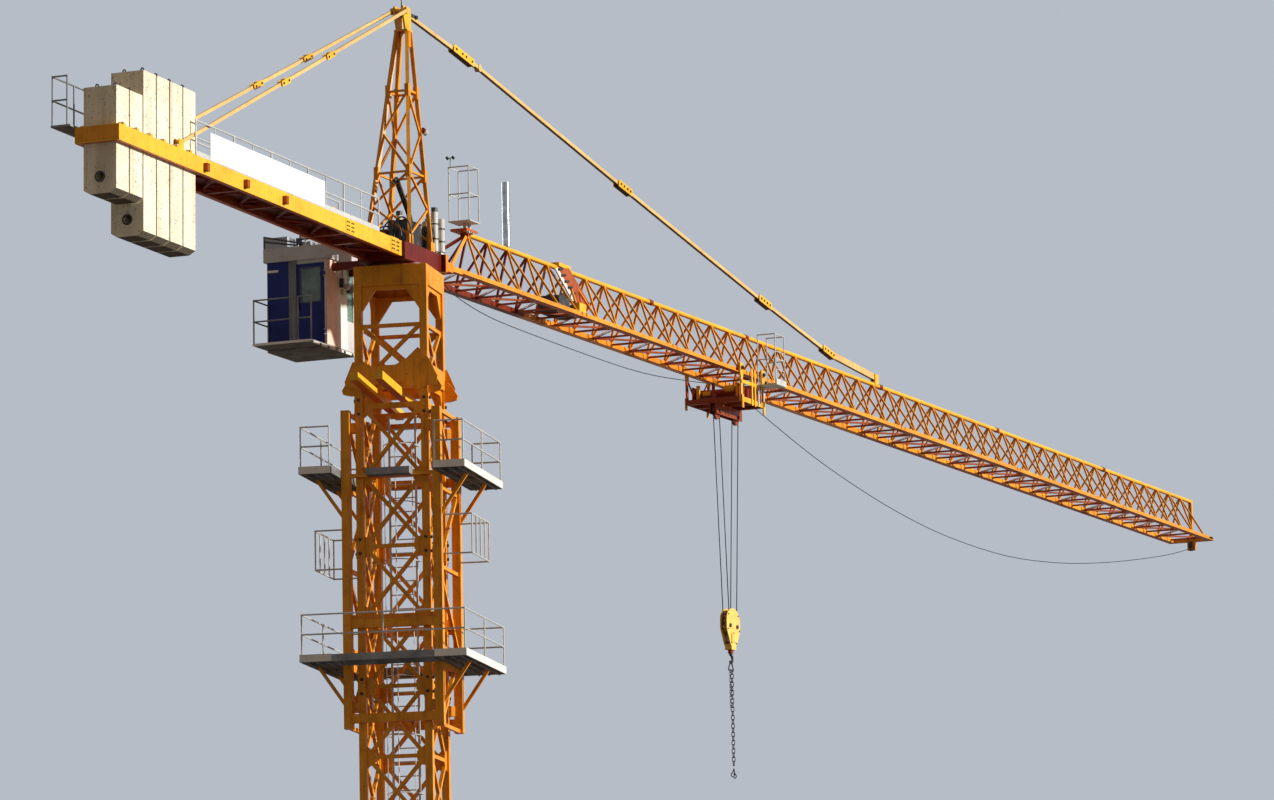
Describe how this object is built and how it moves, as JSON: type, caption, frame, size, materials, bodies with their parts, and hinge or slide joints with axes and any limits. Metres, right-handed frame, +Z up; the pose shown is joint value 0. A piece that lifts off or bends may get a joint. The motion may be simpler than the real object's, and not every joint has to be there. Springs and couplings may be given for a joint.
{
  "type": "tower crane, hammerhead, 1:2 scale model",
  "caption": "Half-size hammerhead tower crane with slewing jib, travelling trolley, hoist hook, cab, climbing cage and counter-jib.",
  "frame": {"origin": "middle of the underside of the crossed base beams, on the mast's axis", "axes": "+X along the jib from the mast to the tip, +Z up the mast, +Y to the cab's side"},
  "size_m": [34.4489, 2.6431, 16.0633],
  "materials": {
    "crane_paint": "weathered orange-yellow gloss paint",
    "walkway_grey": "grey painted steel plate",
    "rail_grey": "pale grey painted tube",
    "cab_pale": "pale grey satin sheet",
    "cab_navy": "navy satin sheet",
    "cab_glazing": "green tinted glass",
    "white_sheet": "plain white sheet",
    "cast_concrete": "cream cast concrete, matt",
    "dark_machinery": "dark machinery paint",
    "wire_rope": "greased wire rope"
  },
  "bodies": {
    "tower": {"base_cross": "crane_paint", "mast_front": "crane_paint", "mast_rear": "crane_paint", "mast_left": "crane_paint", "mast_right": "crane_paint", "mast_ladder": "rail_grey", "support_front": "crane_paint", "support_rear": "crane_paint", "support_left": "crane_paint", "support_right": "crane_paint", "slew_box": "crane_paint", "jacking_beams": "crane_paint", "cage_left": "crane_paint", "cage_right": "crane_paint", "cage_ties": "crane_paint", "upper_platform": "walkway_grey", "upper_rails": "rail_grey", "lower_platform": "walkway_grey", "lower_rails": "rail_grey"},
    "crane_top": {"turntable": "crane_paint", "slew_motors": "dark_machinery", "tower_head": "crane_paint", "head_apex": "crane_paint", "counter_tie_near": "crane_paint", "counter_tie_far": "crane_paint", "jib_tie": "crane_paint", "counter_frame": "crane_paint", "counter_deck": "walkway_grey", "counter_rail_near": "rail_grey", "counter_rail_far": "rail_grey", "banner_panel": "white_sheet", "counterweights": "cast_concrete", "hoist_winch": "walkway_grey", "end_platform": "walkway_grey", "jib_top_chord": "crane_paint", "jib_near_inner": "crane_paint", "jib_near_outer": "crane_paint", "jib_far_inner": "crane_paint", "jib_far_outer": "crane_paint", "jib_floor": "crane_paint", "jib_tip": "crane_paint", "trolley_winch": "dark_machinery", "root_basket": "rail_grey", "signal_tube": "rail_grey", "cab_floor": "walkway_grey", "cab_rear_panel": "cab_navy", "cab_lintel": "cab_pale", "cab_near_wall": "cab_pale", "cab_far_wall": "cab_pale", "cab_glass": "cab_glazing", "cab_roof": "cab_pale", "cab_landing": "walkway_grey", "travel_rope_inner": "wire_rope", "travel_rope_outer": "wire_rope"},
    "cab_door": {"cab_door": "cab_navy"},
    "trolley": {"trolley_frame": "crane_paint", "trolley_basket": "rail_grey", "hoist_ropes": "wire_rope"},
    "hook_block": {"hook_block": "crane_paint"},
    "hook": {"hook_sling": "dark_machinery"}
  },
  "joints": [
    {"name": "slew", "type": "hinge", "parent": "tower", "child": "crane_top", "pos_m": [0, 0, 13.15], "axis": [0, 0, 1], "continuous": true},
    {"name": "trolley_travel", "type": "slide", "parent": "crane_top", "child": "trolley", "axis": [0.9999, 0, 0.0103], "range_m": [-6.7, 16.9], "deforming": ["travel_rope_inner", "travel_rope_outer"]},
    {"name": "hoist", "type": "slide", "parent": "trolley", "child": "hook_block", "axis": [0, 0, 1], "range_m": [-8.3, 1.9], "deforming": ["hoist_ropes"]},
    {"name": "hook_swivel", "type": "hinge", "parent": "hook_block", "child": "hook", "pos_m": [9.3044, 0, 10], "axis": [0, 0, 1], "continuous": true},
    {"name": "cab_door_swing", "type": "hinge", "parent": "crane_top", "child": "cab_door", "pos_m": [-0.11, 0.837, 12.85], "axis": [0, 0, 1], "range_deg": [0, 90]}
  ]
}
